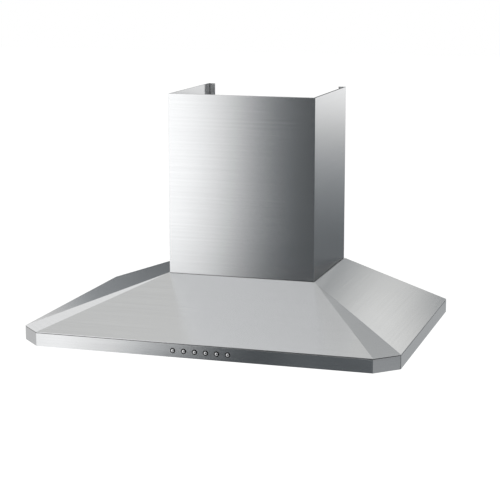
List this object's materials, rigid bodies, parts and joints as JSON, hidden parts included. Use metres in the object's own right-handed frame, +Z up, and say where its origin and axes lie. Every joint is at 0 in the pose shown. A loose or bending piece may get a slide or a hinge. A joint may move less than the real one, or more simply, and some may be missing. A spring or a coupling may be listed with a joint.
{
  "type": "chimney range hood",
  "caption": "Wall-mounted chimney range hood: faceted steel canopy with a button row in its lip, tilting grease filters, a blower and a telescopic chimney cover.",
  "frame": {"origin": "bottom centre of the back plate's rear face, on the wall", "axes": "+X along the width to the right, +Y into the wall, +Z up; the front faces -Y"},
  "size_m": [0.7, 0.4817, 0.438],
  "materials": {
    "canopy_steel": "fine satin brushing",
    "chimney_steel": "brushed, grain along the width",
    "button_chrome": "polished",
    "lamp_chrome": "polished",
    "galvanised_steel": "zinc coated, satin",
    "zinc_screws": "zinc plated",
    "filter_aluminium": "anodised, satin",
    "can_aluminium": "pressed, satin",
    "black_plastic": "fine moulded texture",
    "housing_plastic": "moulded, matte",
    "grey_plastic": "moulded, matte",
    "white_plastic": "moulded, matte",
    "lamp_glass": "frosted",
    "motor_paint": "painted, semi-gloss"
  },
  "bodies": {
    "hood": {"canopy_shell": "canopy_steel", "front_fascia": "canopy_steel", "side_rail_left": "canopy_steel", "side_rail_right": "canopy_steel", "underside_panel": "canopy_steel", "lower_chimney": "chimney_steel", "lamp_bezel_left": "lamp_chrome", "lamp_bezel_right": "lamp_chrome", "back_plate": "galvanised_steel", "motor_bracket": "galvanised_steel", "blower_screw_1": "zinc_screws", "blower_screw_2": "zinc_screws", "blower_screw_3": "zinc_screws", "blower_screw_4": "zinc_screws", "panel_screw_1": "zinc_screws", "panel_screw_2": "zinc_screws", "panel_screw_3": "zinc_screws", "panel_screw_4": "zinc_screws", "lamp_can_left": "can_aluminium", "lamp_can_right": "can_aluminium", "button_ring_1": "black_plastic", "button_ring_2": "black_plastic", "button_ring_3": "black_plastic", "button_ring_4": "black_plastic", "button_ring_5": "black_plastic", "button_ring_6": "black_plastic", "switch_block": "black_plastic", "cable_gland": "black_plastic", "scroll_housing_left": "housing_plastic", "scroll_housing_right": "housing_plastic", "outlet_collar": "grey_plastic", "control_box": "white_plastic", "control_box_lid": "white_plastic", "terminal_box": "white_plastic", "capacitor": "white_plastic", "lamp_lens_left": "lamp_glass", "lamp_lens_right": "lamp_glass", "motor": "motor_paint"},
    "button_body_1": {"button_1": "button_chrome"},
    "button_body_2": {"button_2": "button_chrome"},
    "button_body_3": {"button_3": "button_chrome"},
    "button_body_4": {"button_4": "button_chrome"},
    "button_body_5": {"button_5": "button_chrome"},
    "button_body_6": {"button_6": "button_chrome"},
    "fan": {"impeller": "grey_plastic", "motor_shaft": "zinc_screws"},
    "flap_left_body": {"flap_left": "grey_plastic"},
    "flap_right_body": {"flap_right": "grey_plastic"},
    "filter_left": {"filter_frame_left": "filter_aluminium", "filter_mesh_left": "filter_aluminium", "latch_seat_left": "black_plastic"},
    "latch_left_slide_body": {"latch_left": "black_plastic"},
    "filter_right": {"filter_frame_right": "filter_aluminium", "filter_mesh_right": "filter_aluminium", "latch_seat_right": "black_plastic"},
    "latch_right_slide_body": {"latch_right": "black_plastic"},
    "upper_cover": {"upper_chimney": "chimney_steel", "chimney_bracket": "galvanised_steel", "bracket_screw_left": "zinc_screws", "bracket_screw_right": "zinc_screws"}
  },
  "joints": [
    {"name": "button_1_press", "type": "slide", "parent": "hood", "child": "button_body_1", "axis": [0, 1, 0], "range_m": [0, 0.002], "stiffness_N_per_m": 300, "springref_m": -0.001},
    {"name": "button_2_press", "type": "slide", "parent": "hood", "child": "button_body_2", "axis": [0, 1, 0], "range_m": [0, 0.002], "stiffness_N_per_m": 300, "springref_m": -0.001},
    {"name": "button_3_press", "type": "slide", "parent": "hood", "child": "button_body_3", "axis": [0, 1, 0], "range_m": [0, 0.002], "stiffness_N_per_m": 300, "springref_m": -0.001},
    {"name": "button_4_press", "type": "slide", "parent": "hood", "child": "button_body_4", "axis": [0, 1, 0], "range_m": [0, 0.002], "stiffness_N_per_m": 300, "springref_m": -0.001},
    {"name": "button_5_press", "type": "slide", "parent": "hood", "child": "button_body_5", "axis": [0, 1, 0], "range_m": [0, 0.002], "stiffness_N_per_m": 300, "springref_m": -0.001},
    {"name": "button_6_press", "type": "slide", "parent": "hood", "child": "button_body_6", "axis": [0, 1, 0], "range_m": [0, 0.002], "stiffness_N_per_m": 300, "springref_m": -0.001},
    {"name": "impeller_spin", "type": "hinge", "parent": "hood", "child": "fan", "pos_m": [0, -0.121, 0.155], "axis": [1, 0, 0], "continuous": true},
    {"name": "flap_left_swing", "type": "hinge", "parent": "hood", "child": "flap_left_body", "pos_m": [-0.004, -0.0687, 0.297], "axis": [0, 1, 0], "range_deg": [0, 78]},
    {"name": "flap_right_swing", "type": "hinge", "parent": "hood", "child": "flap_right_body", "pos_m": [0.004, -0.0687, 0.297], "axis": [0, -1, 0], "range_deg": [0, 78]},
    {"name": "filter_left_tilt", "type": "hinge", "parent": "hood", "child": "filter_left", "pos_m": [-0.153, -0.042, 0.009], "axis": [1, 0, 0], "range_deg": [0, 75]},
    {"name": "latch_left_slide", "type": "slide", "parent": "filter_left", "child": "latch_left_slide_body", "axis": [0, 1, 0], "range_m": [0, 0.007], "stiffness_N_per_m": 300, "springref_m": -0.003},
    {"name": "filter_right_tilt", "type": "hinge", "parent": "hood", "child": "filter_right", "pos_m": [0.153, -0.042, 0.009], "axis": [1, 0, 0], "range_deg": [0, 75]},
    {"name": "latch_right_slide", "type": "slide", "parent": "filter_right", "child": "latch_right_slide_body", "axis": [0, 1, 0], "range_m": [0, 0.007], "stiffness_N_per_m": 300, "springref_m": -0.003},
    {"name": "upper_chimney_slide", "type": "slide", "parent": "hood", "child": "upper_cover", "axis": [0, 0, 1], "range_m": [0, 0.28]}
  ]
}
